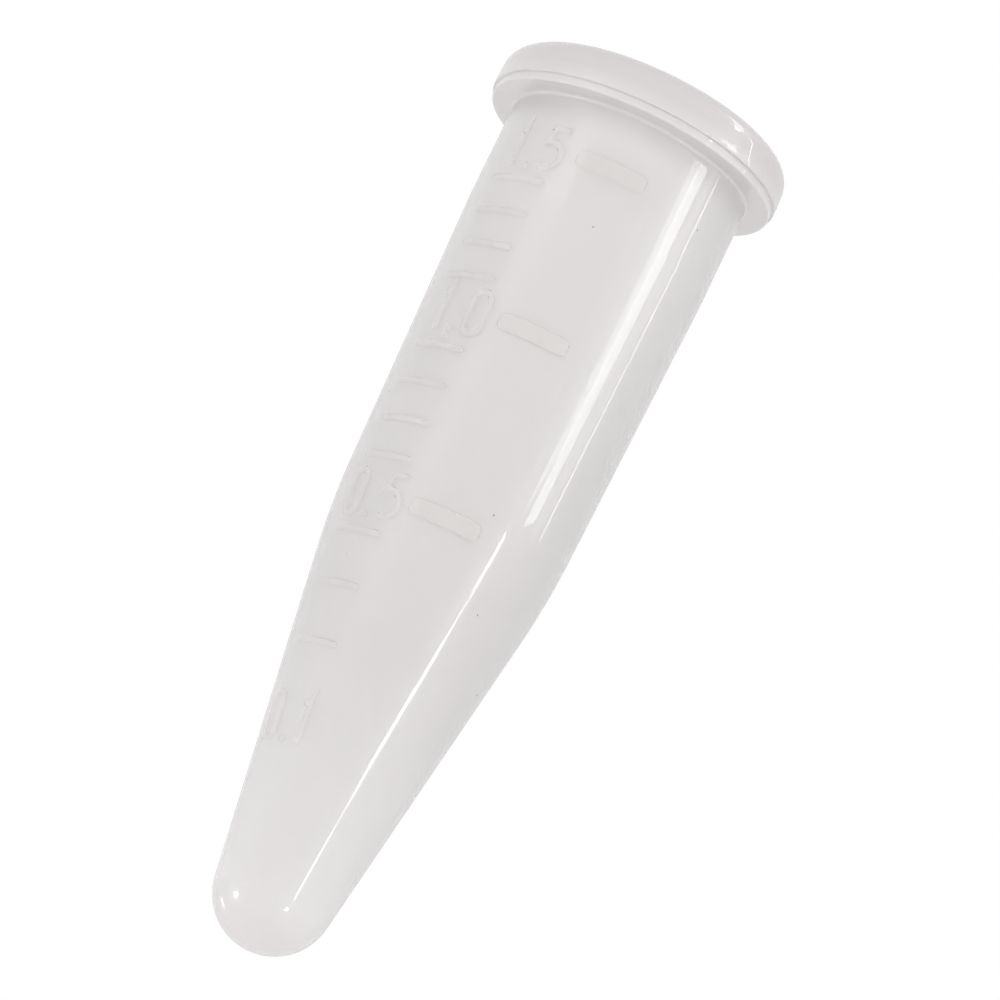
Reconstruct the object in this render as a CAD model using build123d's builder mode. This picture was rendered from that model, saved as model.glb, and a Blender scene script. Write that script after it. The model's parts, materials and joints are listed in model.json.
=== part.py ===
from build123d import *
import math
import os

# Open 1.5 mL microcentrifuge tube, injection moulded in one piece, in millimetres.
# +Z runs up the tube's axis and out of the mouth. The origin is on the axis, in the plane of the
# flange's underside, which is the face that sits on a rack. The volume scale is in relief on the
# outside. Azimuths are measured from -Y towards +X, so the scale is read from the -Y side.

# Flange at the mouth
flange_radius = 6.5
flange_thickness = 2.15
flange_top_rounding = 0.9
flange_waist_z = 0.85  # above this height the flange's side leans inwards
flange_lean = 3.0
flange_waist_blend = 8.0
parting_step_width = 0.12  # the mould's parting line leaves the lowest part of the flange narrower
parting_step_height = 0.36
flange_bottom_rounding = 0.08
underside_fillet = 0.15

# Barrel, cone and tip, outside
barrel_radius = 5.36
barrel_land_length = 4.5  # true cylinder under the flange, which a rack's hole holds
kink_radius = 4.94
kink_z = -19.0
kink_blend = 34.0
tip_radius = 2.55
tip_z = -37.4

# Inside
mouth_radius = 4.62
mouth_edge_rounding = 0.25
mouth_land_length = 3.2  # true cylinder below the flange, where a stopper seals
inner_kink_radius = 4.05
inner_kink_z = -19.2
inner_tip_radius = 1.9
inner_tip_z = -36.5

# Volume scale
relief_height = 0.12
relief_fade = 0.02  # the scale stands this much lower at the flange than at the land's foot
bar_length = 3.1
bar_height = 0.75
bar_corner = 0.25
bar_azimuth = -4.5
tick_height = 0.26
tick_azimuth = -46.5
tick_half_angle = 15.5
digit_height = 2.2
digit_width = 1.05
digit_stroke = 0.24
dot_radius = 0.16
last_digit_azimuth = -33.0
mark_z = {"1.5": -2.6, "1.0": -10.3, "0.5": -18.85, "0.1": -28.5}
cone_tick_z = [-20.45, -22.75, -25.25]
marks_per_half = 5  # a mark every 0.1 mL between 1.5 and 0.5 mL


def cone_half_angle(start_radius, start_z, end_radius, centre_z):
    """Angle to the axis, in radians, of the cone that meets a ball tangentially."""
    height = start_z - centre_z
    return math.atan2(start_radius, height) - math.asin(end_radius / math.hypot(start_radius, height))


tip_centre_z = tip_z + tip_radius
inner_tip_centre_z = inner_tip_z + inner_tip_radius
cone_angle = cone_half_angle(kink_radius, kink_z, tip_radius, tip_centre_z)
inner_cone_angle = cone_half_angle(inner_kink_radius, inner_kink_z, inner_tip_radius, inner_tip_centre_z)
cone_end = (tip_radius * math.cos(cone_angle), tip_centre_z - tip_radius * math.sin(cone_angle))
flange_top_radius = flange_radius - (flange_thickness - flange_waist_z) * math.tan(math.radians(flange_lean))
inner_cone_end = (
    inner_tip_radius * math.cos(inner_cone_angle),
    inner_tip_centre_z - inner_tip_radius * math.sin(inner_cone_angle),
)


def outer_radius(z):
    """Radius of the outside of the barrel or cone at a height."""
    if z >= -barrel_land_length:
        return barrel_radius
    if z >= kink_z:
        share = (z + barrel_land_length) / (kink_z + barrel_land_length)
        return barrel_radius + (kink_radius - barrel_radius) * share
    return kink_radius - (kink_z - z) * math.tan(cone_angle)


def facing(azimuth, z):
    """Plane on the axis that looks outwards at an azimuth, with its Y up the tube."""
    turn = math.radians(azimuth)
    return Plane(
        origin=(0, 0, z),
        x_dir=(math.cos(turn), math.sin(turn), 0),
        z_dir=(math.sin(turn), -math.cos(turn), 0),
    )


# The tube: flange, barrel, cone and tip in one wall
with BuildPart() as tube_body:
    with BuildSketch(Plane.XZ) as wall:
        with BuildLine():
            Polyline(
                (0, inner_tip_z),
                (0, tip_z),
            )
            CenterArc((0, tip_centre_z), tip_radius, -90, 90 - math.degrees(cone_angle))
            Polyline(
                cone_end,
                (kink_radius, kink_z),
                (barrel_radius, -barrel_land_length),
                (barrel_radius, 0),
                (flange_radius - parting_step_width, 0),
                (flange_radius - parting_step_width, parting_step_height),
                (flange_radius, parting_step_height),
                (flange_radius, flange_waist_z),
                (flange_top_radius, flange_thickness),
                (mouth_radius, flange_thickness),
                (mouth_radius, -mouth_land_length),
                (inner_kink_radius, inner_kink_z),
                inner_cone_end,
            )
            CenterArc(
                (0, inner_tip_centre_z), inner_tip_radius, -90, 90 - math.degrees(inner_cone_angle)
            )
        make_face()
        corners = [
            ((flange_top_radius, flange_thickness), flange_top_rounding),
            ((flange_radius, flange_waist_z), flange_waist_blend),
            ((mouth_radius, flange_thickness), mouth_edge_rounding),
            ((flange_radius - parting_step_width, 0), flange_bottom_rounding),
            ((barrel_radius, 0), underside_fillet),
            ((kink_radius, kink_z), kink_blend),
            ((inner_kink_radius, inner_kink_z), kink_blend),
        ]
        for (x, z), radius in corners:
            fillet(wall.vertices().sort_by_distance((x, z, 0))[0], radius=radius)
    revolve(axis=Axis.Z)
tube_body.part.label = "tube_body"


def barrel_and_cone(extra, fade):
    """Solid with the outside of the barrel and cone, grown by a radial amount less the fade at the flange."""
    with BuildPart(mode=Mode.PRIVATE) as form:
        with BuildSketch(Plane.XZ) as half:
            with BuildLine():
                Polyline(
                    (0, 0),
                    (barrel_radius + extra - fade, 0),
                    (barrel_radius + extra, -barrel_land_length),
                    (kink_radius + extra, kink_z),
                    (cone_end[0] + extra, cone_end[1]),
                    (0, cone_end[1]),
                    close=True,
                )
            make_face()
            fillet(
                half.vertices().sort_by_distance((kink_radius + extra, kink_z, 0))[0],
                radius=kink_blend + extra,
            )
        revolve(axis=Axis.Z)
    return form.part


tube_outside = barrel_and_cone(0, 0)
relief_outside = barrel_and_cone(relief_height, relief_fade)
reach = flange_radius + 1  # how far out the scale's outlines are pushed before they are trimmed

# Long bars beside the numerals
with BuildPart() as volume_bars:
    for name in ("1.5", "1.0", "0.5"):
        with BuildSketch(facing(bar_azimuth, mark_z[name])):
            RectangleRounded(bar_length, bar_height, bar_corner)
        extrude(amount=reach)
    add(relief_outside, mode=Mode.INTERSECT)
    add(tube_outside, mode=Mode.SUBTRACT)
volume_bars.part.label = "volume_bars"

# Short ticks, one every 0.1 mL between the numerals
tick_z = list(cone_tick_z)
for upper, lower in (("1.5", "1.0"), ("1.0", "0.5")):
    spacing = (mark_z[lower] - mark_z[upper]) / marks_per_half
    for step in range(1, marks_per_half):
        tick_z.append(mark_z[upper] + spacing * step)

with BuildPart() as volume_ticks:
    for z in tick_z:
        tick_length = 2 * outer_radius(z) * math.sin(math.radians(tick_half_angle))
        with BuildSketch(facing(tick_azimuth, z)):
            SlotOverall(tick_length, tick_height)
        extrude(amount=reach)
    add(relief_outside, mode=Mode.INTERSECT)
    add(tube_outside, mode=Mode.SUBTRACT)
volume_ticks.part.label = "volume_ticks"


def draw_zero():
    """A tall ring."""
    SlotOverall(digit_height, digit_width, rotation=90)
    SlotOverall(digit_height - 2 * digit_stroke, digit_width - 2 * digit_stroke, rotation=90, mode=Mode.SUBTRACT)


def draw_one():
    """An upright with a short flag."""
    middle = (digit_height - digit_stroke) / 2
    with BuildLine() as strokes:
        Polyline((-digit_width / 4, middle - digit_width / 3), (0, middle), (0, -middle))
    trace(strokes.line, line_width=digit_stroke)


def draw_five():
    """A top bar, a short upright and a bowl."""
    half_width = (digit_width - digit_stroke) / 2
    half_height = (digit_height - digit_stroke) / 2
    bowl = digit_height / 3.3
    with BuildLine() as strokes:
        Polyline(
            (half_width, half_height),
            (-half_width * 0.8, half_height),
            (-half_width, half_height - bowl),
        )
        ThreePointArc(
            (-half_width, half_height - bowl),
            (half_width, -half_height + bowl * 0.95),
            (-half_width, -half_height + bowl * 0.2),
        )
    trace(strokes.line, line_width=digit_stroke)


def draw_point():
    """The decimal point, on the foot line."""
    with Locations((0, -digit_height / 2 + dot_radius)):
        Circle(dot_radius)


glyphs = {
    "0": (draw_zero, digit_width),
    "1": (draw_one, digit_width * 0.6),
    "5": (draw_five, digit_width),
    ".": (draw_point, dot_radius * 2),
}
glyph_gap = 0.33

# Numerals, set out from right to left around the tube, each looking straight outwards
with BuildPart() as volume_numerals:
    for text, z in mark_z.items():
        radius = outer_radius(z)
        azimuth = last_digit_azimuth
        last_width = None
        for glyph in reversed(text):
            draw, width = glyphs[glyph]
            if last_width is not None:
                azimuth -= math.degrees(((width + last_width) / 2 + glyph_gap) / radius)
            with BuildSketch(facing(azimuth, z)):
                draw()
            extrude(amount=reach)
            last_width = width
    add(relief_outside, mode=Mode.INTERSECT)
    add(tube_outside, mode=Mode.SUBTRACT)
volume_numerals.part.label = "volume_numerals"

os.makedirs("parts", exist_ok=True)
export_step(tube_body.part, "parts/tube_body.step")
export_step(volume_bars.part, "parts/volume_bars.step")
export_step(volume_ticks.part, "parts/volume_ticks.step")
export_step(volume_numerals.part, "parts/volume_numerals.step")
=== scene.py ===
import json
import math

import bmesh
import bpy
from mathutils import Matrix, Vector


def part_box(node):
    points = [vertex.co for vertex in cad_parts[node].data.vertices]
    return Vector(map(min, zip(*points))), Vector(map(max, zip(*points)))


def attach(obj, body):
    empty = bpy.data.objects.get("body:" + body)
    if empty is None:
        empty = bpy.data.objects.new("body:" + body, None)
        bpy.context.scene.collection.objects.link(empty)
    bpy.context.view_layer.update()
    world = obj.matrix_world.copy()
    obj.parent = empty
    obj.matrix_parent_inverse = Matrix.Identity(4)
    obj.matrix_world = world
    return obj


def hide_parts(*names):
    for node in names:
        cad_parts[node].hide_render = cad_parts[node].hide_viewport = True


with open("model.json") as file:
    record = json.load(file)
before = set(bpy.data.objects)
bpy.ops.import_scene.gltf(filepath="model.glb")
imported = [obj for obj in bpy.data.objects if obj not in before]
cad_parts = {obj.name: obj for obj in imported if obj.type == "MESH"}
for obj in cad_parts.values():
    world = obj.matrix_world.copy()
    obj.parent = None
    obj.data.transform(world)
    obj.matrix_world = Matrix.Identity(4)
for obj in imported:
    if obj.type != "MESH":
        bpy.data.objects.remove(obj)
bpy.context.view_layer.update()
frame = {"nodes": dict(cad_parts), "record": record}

bl_info = {
    "name": "Microcentrifuge tube",
    "version": (1, 0, 0),
    "blender": (4, 5, 0),
    "location": "View3D > Sidebar > Tube",
    "description": "Moulded wall and raised volume scale of an open microcentrifuge tube, with its studio",
    "category": "Object",
}

MM = 0.001
TURN = 2 * math.pi
MERGE_DISTANCE = 0.0005 * MM


# ---------------------------------------------------------------- sizes read from the frame


def mount(name):
    """The record's mount of that name."""
    return next(m for m in frame["record"]["mounts"] if m["name"] == name)


BODY_LOW, BODY_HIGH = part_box("tube_body")
FLANGE_RADIUS = BODY_HIGH.x
FLANGE_TOP = BODY_HIGH.z
TIP_Z = BODY_LOW.z
MOUTH_RADIUS = mount("mouth_bore")["dims"]["r_mm"] * MM
BARREL_RADIUS = mount("rack_barrel")["dims"]["r_mm"] * MM


# ---------------------------------------------------------------- small helpers


def linear(hex_colour):
    """An sRGB hex colour such as "E4E2E0" as linear RGBA."""
    parts = [int(hex_colour[i : i + 2], 16) / 255 for i in (0, 2, 4)]
    return [c / 12.92 if c <= 0.04045 else ((c + 0.055) / 1.055) ** 2.4 for c in parts] + [1.0]


def add_node(tree, kind, inputs=None, **settings):
    """Adds a node with its settings, its inputs being values or other nodes' outputs to link from."""
    node = tree.nodes.new(kind)
    for name, value in settings.items():
        setattr(node, name, value)
    for name, value in (inputs or {}).items():
        if isinstance(value, bpy.types.NodeSocket):
            tree.links.new(value, node.inputs[name])
        else:
            node.inputs[name].default_value = value
    return node


def deselect_all():
    """Nothing selected and nothing active, so that the next operator acts on its own piece."""
    if bpy.context.object and bpy.context.object.mode != "OBJECT":
        bpy.ops.object.mode_set(mode="OBJECT")
    bpy.ops.object.select_all(action="DESELECT")
    bpy.context.view_layer.objects.active = None


def activate(piece):
    """Only this piece selected and active."""
    deselect_all()
    piece.select_set(True)
    bpy.context.view_layer.objects.active = piece


def arc_points(centre, radius, start, end, steps):
    """Points of an arc in the plane of the axis, as (distance from the axis, height), angles in degrees."""
    points = []
    for i in range(steps + 1):
        angle = math.radians(start + (end - start) * i / steps)
        points.append((centre[0] + radius * math.cos(angle), centre[1] + radius * math.sin(angle)))
    return points


def rounded(corner, before, after, radius, steps):
    """Points that round a corner of an outline by a tangent arc, coming from before and going to after."""
    c, b, a = Vector(corner), Vector(before), Vector(after)
    to_b, to_a = (b - c).normalized(), (a - c).normalized()
    half = to_b.angle(to_a) / 2
    centre = c + (to_b + to_a).normalized() * (radius / math.sin(half))
    first = c + to_b * (radius / math.tan(half))
    last = c + to_a * (radius / math.tan(half))
    start = math.atan2(first.y - centre.y, first.x - centre.x)
    sweep = math.atan2(last.y - centre.y, last.x - centre.x) - start
    sweep = (sweep + math.pi) % TURN - math.pi
    return [
        (
            centre.x + radius * math.cos(start + sweep * i / steps),
            centre.y + radius * math.sin(start + sweep * i / steps),
        )
        for i in range(steps + 1)
    ]


# ---------------------------------------------------------------- what a user would change


class TubeSizes(bpy.types.PropertyGroup):
    parting_step_width: bpy.props.FloatProperty(
        name="Parting step width",
        description="How much narrower the flange is below the mould's parting line",
        default=0.12 * MM,
        unit="LENGTH",
    )
    parting_step_height: bpy.props.FloatProperty(
        name="Parting step height",
        description="Height of the parting line above the flange's underside",
        default=0.36 * MM,
        unit="LENGTH",
    )
    flange_top_rounding: bpy.props.FloatProperty(
        name="Flange top rounding",
        description="Radius of the flange's upper outer edge",
        default=0.9 * MM,
        unit="LENGTH",
    )
    relief_root: bpy.props.FloatProperty(
        name="Relief root",
        description="How deep the raised scale is rooted in the wall, as a share of the radius",
        default=0.03,
        subtype="FACTOR",
    )
    relief_edge: bpy.props.FloatProperty(
        name="Relief edge rounding",
        description="Width of the rounded edge of the raised scale",
        default=0.05 * MM,
        unit="LENGTH",
    )


class TubeFinish(bpy.types.PropertyGroup):
    resin_pale: bpy.props.StringProperty(
        name="Resin, clear flow",
        description="sRGB hex colour of the clearest polypropylene",
        default="FFFFFE",
    )
    resin_milky: bpy.props.StringProperty(
        name="Resin, milky flow",
        description="sRGB hex colour of the milkiest polypropylene",
        default="FBFAF9",
    )
    # This grey is partly the thick flange's own colour and partly painted shade on the barrel just below the
    # flange.
    resin_thick_and_painted_shade: bpy.props.StringProperty(
        name="Resin, thick",
        description="sRGB hex colour of the polypropylene in the thick flange",
        default="E0DDDC",
    )
    depth_tint: bpy.props.StringProperty(
        name="Depth tint",
        description="sRGB hex colour that the light takes on in thick polypropylene",
        default="C0B8B6",
    )
    clarity: bpy.props.FloatProperty(
        name="Clarity",
        description="Share of the light that goes through a face of the wall instead of being scattered back",
        default=0.62,
        min=0.0,
        max=1.0,
        subtype="FACTOR",
    )


# ---------------------------------------------------------------- materials


def polypropylene_moulded(name, clarity, haze, index, gloss, depth_loss):
    """Natural polypropylene, injection moulded against a polished mould: a clear gloss on top of a
    slightly milky wall that blurs what is behind it, with faint flow clouds, a few dark specks, a
    greyer flange and painted shade on the barrel just below the flange.
    Clarity is the share of light let through, haze the roughness of what is seen through the wall,
    index the refractive index, gloss the weight of the polished skin and depth_loss the density of
    the wall's absorption, 0 being none."""
    finish = bpy.context.scene.tube_finish
    material = bpy.data.materials.new(name)
    material.use_nodes = True
    tree = material.node_tree
    tree.nodes.clear()
    place = add_node(tree, "ShaderNodeTexCoord").outputs["Object"]
    # Flow clouds are a few millimetres long and drawn out along the tube, the way the melt ran.
    along = add_node(
        tree, "ShaderNodeMapping", {"Vector": place, "Scale": (1 / (2.5 * MM), 1 / (2.5 * MM), 1 / (9 * MM))}
    ).outputs["Vector"]
    clouds = add_node(
        tree, "ShaderNodeTexNoise", {"Vector": along, "Scale": 1.0, "Detail": 3.0, "Roughness": 0.5}
    ).outputs["Fac"]
    resin = add_node(
        tree,
        "ShaderNodeMix",
        {"Factor": clouds, "A": linear(finish.resin_milky), "B": linear(finish.resin_pale)},
        data_type="RGBA",
    ).outputs["Result"]
    # The flange is twice as thick as the wall below it, so it is greyer. The same grey runs 1.4 mm down onto
    # the top of the barrel as painted shade under the flange.
    height = add_node(tree, "ShaderNodeSeparateXYZ", {"Vector": place}).outputs["Z"]
    flange_grey_and_shade_mask = add_node(
        tree, "ShaderNodeMapRange", {"Value": height, "From Min": -1.4 * MM, "From Max": 1.0 * MM}
    ).outputs["Result"]
    resin = add_node(
        tree,
        "ShaderNodeMix",
        {"Factor": flange_grey_and_shade_mask, "A": resin, "B": linear(finish.resin_thick_and_painted_shade)},
        data_type="RGBA",
    ).outputs["Result"]
    # Burnt specks and dust are under a tenth of a millimetre across, at most one in each 1.5 mm cell.
    cells = add_node(tree, "ShaderNodeTexVoronoi", {"Vector": place, "Scale": 1 / (1.5 * MM)})
    near = add_node(
        tree, "ShaderNodeMath", {0: cells.outputs["Distance"], 1: 0.023}, operation="LESS_THAN"
    ).outputs["Value"]
    chance = add_node(tree, "ShaderNodeSeparateColor", {"Color": cells.outputs["Color"]}).outputs["Red"]
    picked = add_node(tree, "ShaderNodeMath", {0: chance, 1: 0.5}, operation="GREATER_THAN").outputs["Value"]
    speck = add_node(tree, "ShaderNodeMath", {0: near, 1: picked}, operation="MULTIPLY").outputs["Value"]
    colour = add_node(
        tree, "ShaderNodeMix", {"Factor": speck, "A": resin, "B": linear("6E6664")}, data_type="RGBA"
    ).outputs["Result"]
    # The polished mould leaves a fine orange peel, about 0.4 mm from crest to crest.
    peel = add_node(
        tree, "ShaderNodeTexNoise", {"Vector": place, "Scale": 1 / (0.4 * MM), "Detail": 2.0}
    ).outputs["Fac"]
    bump = add_node(
        tree, "ShaderNodeBump", {"Height": peel, "Strength": 0.04, "Distance": 0.01 * MM}
    ).outputs["Normal"]
    blur = add_node(
        tree,
        "ShaderNodeMapRange",
        {"Value": clouds, "From Min": 0.3, "From Max": 0.7, "To Min": haze, "To Max": haze * 1.2},
    ).outputs["Result"]
    shader = add_node(
        tree, "ShaderNodeBsdfPrincipled", {"Base Color": colour, "Roughness": blur, "Normal": bump}
    )
    shader.inputs["IOR"].default_value = index
    shader.inputs["Transmission Weight"].default_value = clarity
    shader.inputs["Coat Weight"].default_value = gloss
    shader.inputs["Coat Roughness"].default_value = 0.03
    shader.inputs["Coat IOR"].default_value = 1.49
    output = add_node(tree, "ShaderNodeOutputMaterial", {"Surface": shader.outputs["BSDF"]})
    if depth_loss:
        # Thicker walls pass less light, blue and green a little less than red.
        murk = add_node(tree, "ShaderNodeVolumeAbsorption", {"Color": linear(finish.depth_tint)})
        murk.inputs["Density"].default_value = depth_loss
        tree.links.new(murk.outputs["Volume"], output.inputs["Volume"])
        # The thick flange scatters more of the light than the wall does, from its underside up.
        flange = {"From Min": -0.6 * MM, "From Max": -0.1 * MM, "To Min": clarity, "To Max": clarity * 0.5}
        passed = add_node(tree, "ShaderNodeMapRange", {"Value": height, **flange}).outputs["Result"]
        # The resin is milkier round the tip, where the melt entered the mould.
        gate = {"From Min": -36 * MM, "From Max": -24 * MM, "To Min": 0.76}
        blush = add_node(tree, "ShaderNodeMapRange", {"Value": height, **gate}).outputs["Result"]
        share = add_node(tree, "ShaderNodeMath", {0: passed, 1: blush}, operation="MULTIPLY")
        tree.links.new(share.outputs["Value"], shader.inputs["Transmission Weight"])
    return material


def floor_paint():
    """Matt studio floor, pale and plain, with a barely visible mottle."""
    material = bpy.data.materials.new("studio_floor_matt_paint")
    material.use_nodes = True
    tree = material.node_tree
    tree.nodes.clear()
    place = add_node(tree, "ShaderNodeTexCoord").outputs["Object"]
    mottle = add_node(tree, "ShaderNodeTexNoise", {"Vector": place, "Scale": 1 / (60 * MM)}).outputs["Fac"]
    colour = add_node(
        tree,
        "ShaderNodeMix",
        {"Factor": mottle, "A": linear("F2F1F0"), "B": linear("F6F5F4")},
        data_type="RGBA",
    )
    shader = add_node(tree, "ShaderNodeBsdfPrincipled", {"Roughness": 0.9})
    tree.links.new(colour.outputs["Result"], shader.inputs["Base Color"])
    add_node(tree, "ShaderNodeOutputMaterial", {"Surface": shader.outputs["BSDF"]})
    return material


def wall_resin():
    """The wall's polypropylene, whose thickness makes it milky."""
    clarity = bpy.context.scene.tube_finish.clarity
    return polypropylene_moulded("polypropylene_natural_moulded", clarity, 0.285, 1.49, 1.0, 200)


def relief_resin():
    """The same polypropylene a tenth of a millimetre proud of the wall and one with it. The wall under
    it already bends and blurs the light, so it adds only its own edges and gloss."""
    name = "polypropylene_natural_raised"
    return bpy.data.materials.get(name) or polypropylene_moulded(name, 0.92, 0.08, 1.01, 0.3, 0)


# ---------------------------------------------------------------- the tube's wall


FLANGE_WAIST_Z = 0.85 * MM
FLANGE_LEAN = 3.0  # degrees that the flange's side leans in above the waist
FLANGE_WAIST_BLEND = 8 * MM
FLANGE_BOTTOM_ROUNDING = 0.08 * MM
PARTING_STEP_ROUNDING = 0.04 * MM
UNDERSIDE_FILLET = 0.15 * MM
MOUTH_EDGE_ROUNDING = 0.25 * MM
KINK = (4.94 * MM, -19.0 * MM)  # radius and height where the barrel turns into the cone
KINK_BLEND = 34 * MM
LAND_Z = -4.5 * MM
LAND_BLEND = 8 * MM
TIP_RADIUS = 2.55 * MM
INNER_LAND_Z = -3.2 * MM
INNER_KINK = (4.05 * MM, -19.2 * MM)
INNER_TIP_RADIUS = 1.9 * MM
INNER_TIP_Z = -36.5 * MM
STEPS_ROUND_TUBE = 256


def cone_angle(start, end_radius, centre_z):
    """Angle to the axis of a cone from a corner, tangent to the ball at its end, in degrees."""
    height = start[1] - centre_z
    return math.degrees(
        math.atan2(start[0], height) - math.asin(end_radius / math.hypot(start[0], height))
    )


def wall_outline(sizes):
    """The wall's outline from the tip's outside round the mouth to the tip's inside."""
    tip_centre = TIP_Z + TIP_RADIUS
    inner_centre = INNER_TIP_Z + INNER_TIP_RADIUS
    outer_cone = cone_angle(KINK, TIP_RADIUS, tip_centre)
    inner_cone = cone_angle(INNER_KINK, INNER_TIP_RADIUS, inner_centre)
    step_radius = FLANGE_RADIUS - sizes.parting_step_width
    tip = arc_points((0, tip_centre), TIP_RADIUS, -90, -outer_cone, 20)
    inner_tip = arc_points((0, inner_centre), INNER_TIP_RADIUS, -inner_cone, -90, 18)
    land = (BARREL_RADIUS, LAND_Z)
    root = (BARREL_RADIUS, 0)
    low_edge = (step_radius, 0)
    step = (step_radius, sizes.parting_step_height)
    lip = (FLANGE_RADIUS, sizes.parting_step_height)
    waist = (FLANGE_RADIUS, FLANGE_WAIST_Z)
    lean_in = (FLANGE_TOP - FLANGE_WAIST_Z) * math.tan(math.radians(FLANGE_LEAN))
    top = (FLANGE_RADIUS - lean_in, FLANGE_TOP)
    mouth = (MOUTH_RADIUS, FLANGE_TOP)
    inner_land = (MOUTH_RADIUS, INNER_LAND_Z)
    outline = list(tip)
    outline += rounded(KINK, tip[-1], land, KINK_BLEND, 24)
    outline += rounded(land, KINK, root, LAND_BLEND, 4)
    outline += rounded(root, land, low_edge, UNDERSIDE_FILLET, 8)
    outline += rounded(low_edge, root, step, FLANGE_BOTTOM_ROUNDING, 4)
    outline += rounded(step, low_edge, lip, PARTING_STEP_ROUNDING, 3)
    outline += rounded(lip, step, waist, PARTING_STEP_ROUNDING, 3)
    outline += rounded(waist, lip, top, FLANGE_WAIST_BLEND, 6)
    outline += rounded(top, waist, mouth, sizes.flange_top_rounding, 16)
    outline += rounded(mouth, top, inner_land, MOUTH_EDGE_ROUNDING, 6)
    outline += rounded(inner_land, mouth, INNER_KINK, LAND_BLEND, 4)
    outline += rounded(INNER_KINK, inner_land, inner_tip[0], KINK_BLEND, 12)
    outline += inner_tip
    return outline


class TUBE_OT_wall(bpy.types.Operator):
    """Spins the flange, barrel, cone and tip as one moulded wall"""

    bl_idname = "tube.wall"
    bl_label = "Moulded wall"

    def execute(self, context):
        deselect_all()
        outline = wall_outline(context.scene.tube_sizes)
        bpy.ops.mesh.primitive_plane_add(size=2 * MM, location=(0, 0, 0))
        wall = context.object
        wall.name = wall.data.name = "tube_wall"
        bpy.ops.object.mode_set(mode="EDIT")
        mesh = bmesh.from_edit_mesh(wall.data)
        bmesh.ops.delete(mesh, geom=list(mesh.verts), context="VERTS")
        corners = [mesh.verts.new((x, 0, z)) for x, z in outline]
        for first, second in zip(corners, corners[1:]):
            mesh.edges.new((first, second))
        bmesh.update_edit_mesh(wall.data)
        bpy.ops.mesh.select_all(action="SELECT")
        bpy.ops.mesh.spin(steps=STEPS_ROUND_TUBE, angle=TURN, center=(0, 0, 0), axis=(0, 0, 1))
        bpy.ops.mesh.select_all(action="SELECT")
        bpy.ops.mesh.remove_doubles(threshold=MERGE_DISTANCE)
        bpy.ops.mesh.normals_make_consistent(inside=False)
        bpy.ops.object.mode_set(mode="OBJECT")
        bpy.ops.object.shade_smooth_by_angle(angle=math.radians(40))
        flats = wall.modifiers.new("flats", "WEIGHTED_NORMAL")
        flats.keep_sharp = True
        bpy.ops.object.modifier_apply(modifier=flats.name)
        wall.data.materials.clear()
        wall.data.materials.append(wall_resin())
        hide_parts("tube_body")
        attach(wall, "root")
        return {"FINISHED"}


# ---------------------------------------------------------------- the raised scale


def raised(node, name, sizes):
    """A rooted, edge-rounded copy of one of the CAD model's raised groups."""
    source = frame["nodes"][node]
    piece = source.copy()
    piece.data = source.data.copy()
    for key in list(piece.keys()):
        del piece[key]
    piece.parent = None
    piece.matrix_world = Matrix.Identity(4)
    piece.name = piece.data.name = name
    bpy.context.scene.collection.objects.link(piece)
    activate(piece)
    bpy.ops.object.mode_set(mode="EDIT")
    bpy.ops.mesh.select_all(action="SELECT")
    bpy.ops.mesh.remove_doubles(threshold=MERGE_DISTANCE)
    bpy.ops.mesh.customdata_custom_splitnormals_clear()
    mesh = bmesh.from_edit_mesh(piece.data)
    mesh.normal_update()
    bpy.ops.mesh.select_all(action="DESELECT")
    for face in mesh.faces:
        centre = face.calc_center_median()
        outwards = Vector((centre.x, centre.y, 0)).normalized()
        if face.normal.dot(outwards) < -0.7:
            face.select_set(True)
    bmesh.update_edit_mesh(piece.data)
    shrink = 1 - sizes.relief_root
    bpy.ops.transform.resize(value=(shrink, shrink, 1), center_override=(0, 0, 0))
    bpy.ops.mesh.select_all(action="SELECT")
    bpy.ops.mesh.normals_make_consistent(inside=False)
    bpy.ops.object.mode_set(mode="OBJECT")
    bevel = piece.modifiers.new("edge", "BEVEL")
    bevel.width = sizes.relief_edge
    bevel.segments = 3
    bevel.limit_method = "ANGLE"
    bevel.angle_limit = math.radians(50)
    bpy.ops.object.modifier_apply(modifier=bevel.name)
    bpy.ops.object.shade_smooth_by_angle(angle=math.radians(35))
    piece.data.materials.clear()
    piece.data.materials.append(relief_resin())
    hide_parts(node)
    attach(piece, "root")
    return piece


class TUBE_OT_scale(bpy.types.Operator):
    """Makes the raised bars, ticks and numerals of the volume scale"""

    bl_idname = "tube.scale"
    bl_label = "Raised volume scale"

    def execute(self, context):
        sizes = context.scene.tube_sizes
        raised("volume_bars", "scale_bars", sizes)
        raised("volume_ticks", "scale_ticks", sizes)
        raised("volume_numerals", "scale_numerals", sizes)
        return {"FINISHED"}


# ---------------------------------------------------------------- the studio


CAMERA_AIM = Vector((1.31 * MM, 0, -15.84 * MM))
CAMERA_DISTANCE = 250 * MM
CAMERA_BELOW = math.radians(15.14)  # how far the camera is below the level of its aim
CAMERA_ROLL = math.radians(25.67)  # how far the tube leans right in its view
CAMERA_SENSOR = 36
CAMERA_LENS = 6.043 * CAMERA_SENSOR
FLOOR_Z = -140 * MM
FLOOR_SIZE = 4

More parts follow.
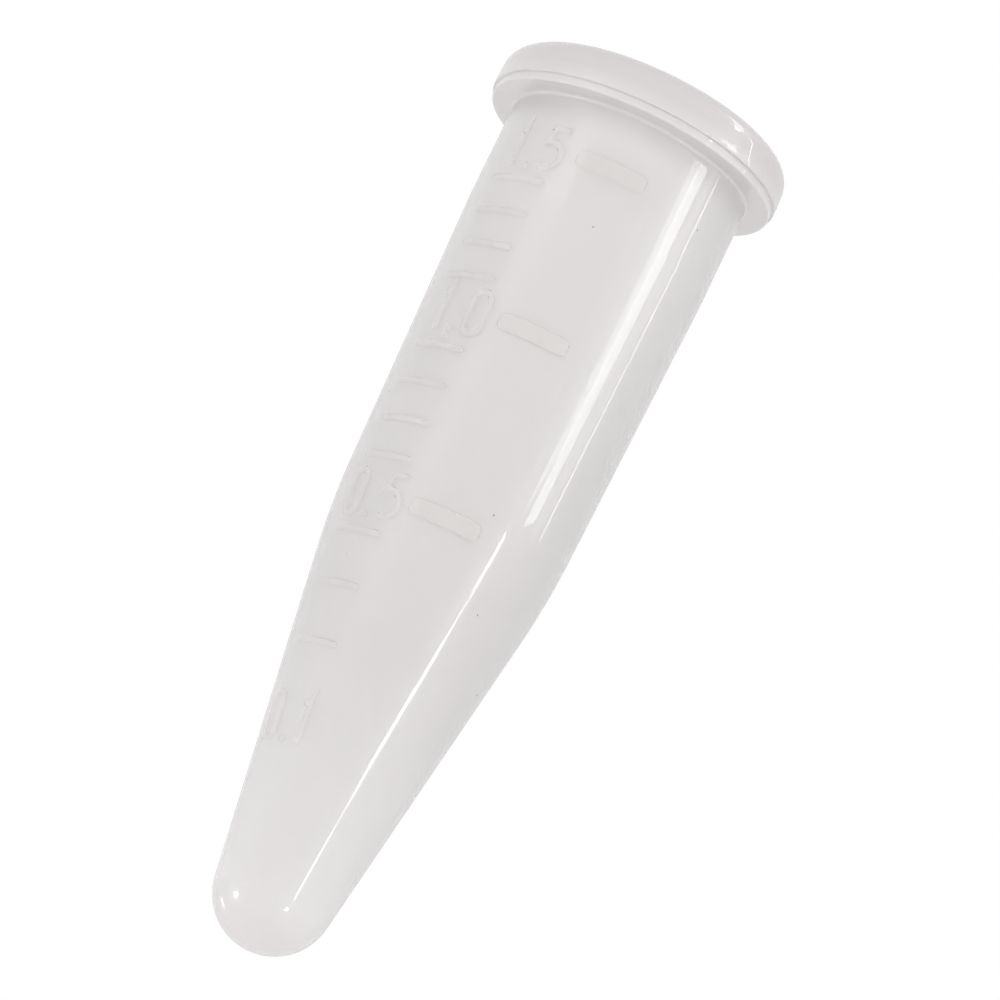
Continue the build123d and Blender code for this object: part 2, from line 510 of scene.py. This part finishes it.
# The key lights make the broad highlight down the barrel, the cone lines its narrow one down the
# cone, the top boxes those on the flange, and the tip lights the glints at the tip.
LIGHTS = (
    # name, (azimuth, elevation), (width, height), radiance, roll, height of its spot, distance
    ("key_core", (67.5, 15.35), (9.4, 9.8), 3.8, 10, -10, 600),
    ("key_side", (60.0, 16.05), (7.4, 8.3), 2.4, 10, -10, 600),
    ("key_shoulder", (50, 15.5), (13, 8), 0.3, 10, -10, 600),
    ("key_right", (79.5, 15), (11, 9.5), 0.7, 20, -10, 600),
    ("thin_strip", (87.2, 22), (1.2, 24), 6.0, 5, -10, 600),
    ("faint_strip", (34, 14.5), (0.9, 9.5), 1.2, 10, -10, 600),
    ("cone_line_top", (49.2, 3.3), (2.8, 9.6), 11.0, -13, -19, 600),
    ("cone_line", (43.9, -2.9), (1.1, 9.4), 11.0, -71, -26, 600),
    ("cone_line_end", (37.6, -5.2), (1.1, 4.4), 8.0, -71, -32, 600),
    ("top_box", (82, 47), (9, 24), 3.0, -30, 1, 600),
    ("top_box_edge", (71, 33), (5, 10), 9.0, -20, 1, 600),
    ("left_column", (-47, 7), (24, 20), 0.3, 0, -10, 600),
    ("left_soft", (-47, 17.2), (22, 2.6), 0.9, 0, -3, 600),
    ("tip_round", (-79.4, -28.1), (9, 9), 16.0, 0, -35, 200),
    ("tip_small", (35.3, -24.3), (6, 6), 16.0, 0, -35, 200),
    ("tip_long", (-123.4, -28.5), (6, 14), 4.0, 0, -35, 200),
)


def add_camera():
    """The camera below the flange, looking up at the tube, with the tube leaning right."""
    back = Vector((0, -math.cos(CAMERA_BELOW), -math.sin(CAMERA_BELOW)))
    up = Vector((0, -math.sin(CAMERA_BELOW), math.cos(CAMERA_BELOW)))
    right = Vector((1, 0, 0))
    rolled_up = up * math.cos(CAMERA_ROLL) - right * math.sin(CAMERA_ROLL)
    rolled_right = right * math.cos(CAMERA_ROLL) + up * math.sin(CAMERA_ROLL)
    data = bpy.data.cameras.new("camera")
    data.sensor_width = CAMERA_SENSOR
    data.lens = CAMERA_LENS
    data.clip_start = 10 * MM
    data.clip_end = 10
    camera = bpy.data.objects.new("camera", data)
    bpy.context.scene.collection.objects.link(camera)
    place = CAMERA_AIM + back * CAMERA_DISTANCE
    turn = Matrix((rolled_right, rolled_up, back)).transposed().to_4x4()
    camera.matrix_world = Matrix.Translation(place) @ turn
    bpy.context.scene.camera = camera


def add_light(name, direction, extent, radiance, roll, height, distance):
    """A rectangular light that covers a patch of the room as seen from a point on the tube's axis.
    Direction is (azimuth, elevation) and extent is (width, height), in degrees, azimuth 0 being
    towards -Y and 90 towards +X. A positive roll leans its top towards smaller azimuths. Radiance is
    what a mirror would show of it. The point's height and the distance from it are in mm."""
    azimuth, elevation = (math.radians(d) for d in direction)
    sides = [2 * distance * MM * math.tan(math.radians(e) / 2) for e in extent]
    flat = math.cos(elevation)
    towards = Vector((math.sin(azimuth) * flat, -math.cos(azimuth) * flat, math.sin(elevation)))
    data = bpy.data.lights.new(name, "AREA")
    data.shape = "RECTANGLE"
    data.size, data.size_y = sides
    data.energy = radiance * math.pi * sides[0] * sides[1]
    light = bpy.data.objects.new(name, data)
    bpy.context.scene.collection.objects.link(light)
    light.location = Vector((0, 0, height * MM)) + towards * distance * MM
    light.rotation_mode = "QUATERNION"
    lean = Matrix.Rotation(math.radians(roll), 4, "Z").to_quaternion()
    light.rotation_quaternion = towards.to_track_quat("Z", "Y") @ lean


def studio_world():
    """White behind the tube, and a soft pale grey room around it."""
    world = bpy.data.worlds.new("studio")
    bpy.context.scene.world = world
    world.use_nodes = True
    tree = world.node_tree
    tree.nodes.clear()
    direction = add_node(tree, "ShaderNodeTexCoord").outputs["Generated"]
    split = add_node(tree, "ShaderNodeSeparateXYZ", {"Vector": direction})
    height = add_node(
        tree,
        "ShaderNodeMapRange",
        {"Value": split.outputs["Z"], "From Min": -1.0, "From Max": 1.0},
    ).outputs["Result"]
    ramp = add_node(tree, "ShaderNodeValToRGB", {"Fac": height})
    ramp.color_ramp.elements[0].color = linear("FFFCFD")
    ramp.color_ramp.elements[1].color = linear("E7E6E7")
    # A white reflector stands to the left, and the camera's side of the room is the brighter one.
    leftwards = add_node(
        tree,
        "ShaderNodeMapRange",
        {"Value": split.outputs["X"], "From Min": -1.0, "From Max": 1.0, "To Min": 1.24, "To Max": 0.94},
    ).outputs["Result"]
    frontwards = add_node(
        tree,
        "ShaderNodeMapRange",
        {"Value": split.outputs["Y"], "From Min": -1.0, "From Max": 1.0, "To Min": 1.23, "To Max": 0.86},
    ).outputs["Result"]
    strength = add_node(
        tree, "ShaderNodeMath", {0: leftwards, 1: frontwards}, operation="MULTIPLY"
    ).outputs["Value"]
    room = add_node(tree, "ShaderNodeBackground", {"Color": ramp.outputs["Color"], "Strength": strength})
    paper = add_node(tree, "ShaderNodeBackground", {"Color": linear("FFFFFF"), "Strength": 1.0})
    seen = add_node(tree, "ShaderNodeLightPath").outputs["Is Camera Ray"]
    mix = add_node(tree, "ShaderNodeMixShader", {"Fac": seen})
    tree.links.new(room.outputs["Background"], mix.inputs[1])
    tree.links.new(paper.outputs["Background"], mix.inputs[2])
    add_node(tree, "ShaderNodeOutputWorld", {"Surface": mix.outputs["Shader"]})


class TUBE_OT_stage(bpy.types.Operator):
    """Sets the floor, the lights and the camera"""

    bl_idname = "tube.stage"
    bl_label = "Studio"

    def execute(self, context):
        deselect_all()
        bpy.ops.mesh.primitive_plane_add(size=FLOOR_SIZE, location=(0, 0, FLOOR_Z))
        floor = context.object
        floor.name = floor.data.name = "studio_floor"
        floor.data.materials.append(floor_paint())
        for light in LIGHTS:
            add_light(*light)
        studio_world()
        add_camera()
        context.scene.view_settings.view_transform = "Standard"
        return {"FINISHED"}


# ---------------------------------------------------------------- add-on layout


class TUBE_PT_panel(bpy.types.Panel):
    """Lists the tube's pieces, its sizes and its finish"""

    bl_idname = "TUBE_PT_panel"
    bl_label = "Microcentrifuge tube"
    bl_space_type = "VIEW_3D"
    bl_region_type = "UI"
    bl_category = "Tube"

    def draw(self, context):
        for group in (context.scene.tube_sizes, context.scene.tube_finish):
            for name in group.__annotations__:
                self.layout.prop(group, name)
        for step in STEPS:
            self.layout.operator(step)


CLASSES = (TubeSizes, TubeFinish, TUBE_OT_wall, TUBE_OT_scale, TUBE_OT_stage, TUBE_PT_panel)
STEPS = ("tube.wall", "tube.scale", "tube.stage")


def register():
    for cls in CLASSES:
        bpy.utils.register_class(cls)
    bpy.types.Scene.tube_sizes = bpy.props.PointerProperty(type=TubeSizes)
    bpy.types.Scene.tube_finish = bpy.props.PointerProperty(type=TubeFinish)


def unregister():
    del bpy.types.Scene.tube_finish
    del bpy.types.Scene.tube_sizes
    for cls in reversed(CLASSES):
        bpy.utils.unregister_class(cls)


def main():
    """Registers the add-on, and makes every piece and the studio."""
    register()
    for step in STEPS:
        group, name = step.split(".")
        getattr(getattr(bpy.ops, group), name)()


if __name__ == "__main__":
    main()
